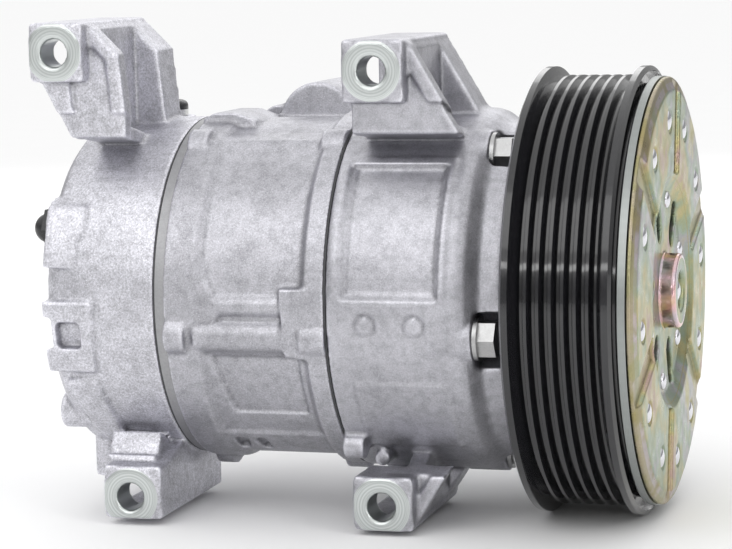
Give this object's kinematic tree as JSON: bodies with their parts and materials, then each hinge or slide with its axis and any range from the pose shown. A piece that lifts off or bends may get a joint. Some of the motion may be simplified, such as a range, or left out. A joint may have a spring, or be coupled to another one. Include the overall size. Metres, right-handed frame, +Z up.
{
  "type": "automotive ac compressor",
  "caption": "Variable-stroke swash-plate air-conditioning compressor with cast aluminium body, bolt-through mounting ears and an electromagnetic clutch pulley for a ribbed belt.",
  "frame": {"origin": "on the shaft axis, in the middle plane of the pulley's belt grooves", "axes": "+X along the shaft out through the clutch, +Z up towards the longer ears, the ears' bolts and the hose ports along Y"},
  "size_m": [0.1928, 0.1352, 0.152],
  "materials": {
    "cast_aluminium": "sand-finished die casting",
    "machined_steel": "ground",
    "bearing_steel": "polished",
    "zinc_yellow": "yellow zinc plate with rainbow tint",
    "black_coated": "gloss black coating",
    "copper": "enamelled copper wire in resin",
    "gasket": "rubber-coated steel",
    "rubber": "moulded",
    "plastic": "moulded",
    "piston_aluminium": "turned and coated"
  },
  "bodies": {
    "housing": {"front_housing": "cast_aluminium", "cylinder_block": "cast_aluminium", "rear_head": "cast_aluminium", "valve_plate": "machined_steel", "suction_reed_plate": "machined_steel", "head_gasket": "gasket", "housing_gasket": "gasket", "discharge_reeds": "machined_steel", "reed_retainer": "machined_steel", "reed_screw": "machined_steel", "through_bolts": "machined_steel", "relief_valve": "machined_steel", "control_valve": "machined_steel", "valve_connector": "plastic", "front_shaft_bearing": "bearing_steel", "rear_shaft_bearing": "bearing_steel", "front_thrust_bearing": "bearing_steel", "rear_thrust_race": "bearing_steel", "preload_spring": "machined_steel", "shaft_seal": "rubber", "seal_snap_ring": "machined_steel", "bearing_snap_ring": "machined_steel", "coil_shell": "black_coated", "coil_winding": "copper", "coil_snap_ring": "machined_steel", "bearing_inner_race": "bearing_steel"},
    "pulley": {"pulley": "black_coated", "bearing_outer_race": "bearing_steel", "bearing_balls": "bearing_steel", "bearing_seals": "rubber", "pulley_snap_ring": "machined_steel"},
    "drive": {"drive_shaft": "machined_steel", "hub_shims": "machined_steel", "lug_plate": "machined_steel", "return_spring_ring": "machined_steel", "return_spring": "machined_steel", "clutch_hub": "zinc_yellow", "leaf_springs": "machined_steel", "hub_rivets": "zinc_yellow", "hub_bolt": "machined_steel"},
    "armature": {"armature_plate": "machined_steel"},
    "shoes": {"piston_shoes": "bearing_steel"},
    "swash": {"swash_plate": "machined_steel"},
    "piston_1": {"piston_1": "piston_aluminium"},
    "piston_2": {"piston_2": "piston_aluminium"},
    "piston_3": {"piston_3": "piston_aluminium"},
    "piston_4": {"piston_4": "piston_aluminium"},
    "piston_5": {"piston_5": "piston_aluminium"}
  },
  "joints": [
    {"name": "pulley_spin", "type": "hinge", "parent": "housing", "child": "pulley", "pos_m": [0, 0, 0], "axis": [1, 0, 0], "continuous": true},
    {"name": "drive_spin", "type": "hinge", "parent": "housing", "child": "drive", "pos_m": [0, 0, 0], "axis": [1, 0, 0], "continuous": true},
    {"name": "armature_slide", "type": "slide", "parent": "drive", "child": "armature", "axis": [-1, 0, 0], "range_m": [0, 0.00045], "stiffness_N_per_m": 20000},
    {"name": "swash_tilt", "type": "hinge", "parent": "housing", "child": "shoes", "pos_m": [-0.062, 0, 0], "axis": [0, -0.4384, -0.8988], "range_deg": [0, 15]},
    {"name": "swash_spin", "type": "hinge", "parent": "shoes", "child": "swash", "pos_m": [-0.062, 0, 0], "axis": [1, 0, 0], "continuous": true},
    {"name": "piston_1_stroke", "type": "slide", "parent": "housing", "child": "piston_1", "axis": [1, 0, 0], "range_m": [-0.0083, 0]},
    {"name": "piston_2_stroke", "type": "slide", "parent": "housing", "child": "piston_2", "axis": [1, 0, 0], "range_m": [-0.00258, 0]},
    {"name": "piston_3_stroke", "type": "slide", "parent": "housing", "child": "piston_3", "axis": [1, 0, 0], "range_m": [0, 0.00672]},
    {"name": "piston_4_stroke", "type": "slide", "parent": "housing", "child": "piston_4", "axis": [1, 0, 0], "range_m": [0, 0.00672]},
    {"name": "piston_5_stroke", "type": "slide", "parent": "housing", "child": "piston_5", "axis": [1, 0, 0], "range_m": [-0.00258, 0]}
  ],
  "couplings": [
    {"joint": "swash_spin", "follows": "drive_spin", "ratio": 1},
    {"joint": "piston_1_stroke", "follows": "swash_tilt", "m_per_rad": -0.031636},
    {"joint": "piston_2_stroke", "follows": "swash_tilt", "m_per_rad": -0.009776},
    {"joint": "piston_3_stroke", "follows": "swash_tilt", "m_per_rad": 0.025594},
    {"joint": "piston_4_stroke", "follows": "swash_tilt", "m_per_rad": 0.025594},
    {"joint": "piston_5_stroke", "follows": "swash_tilt", "m_per_rad": -0.009776}
  ]
}
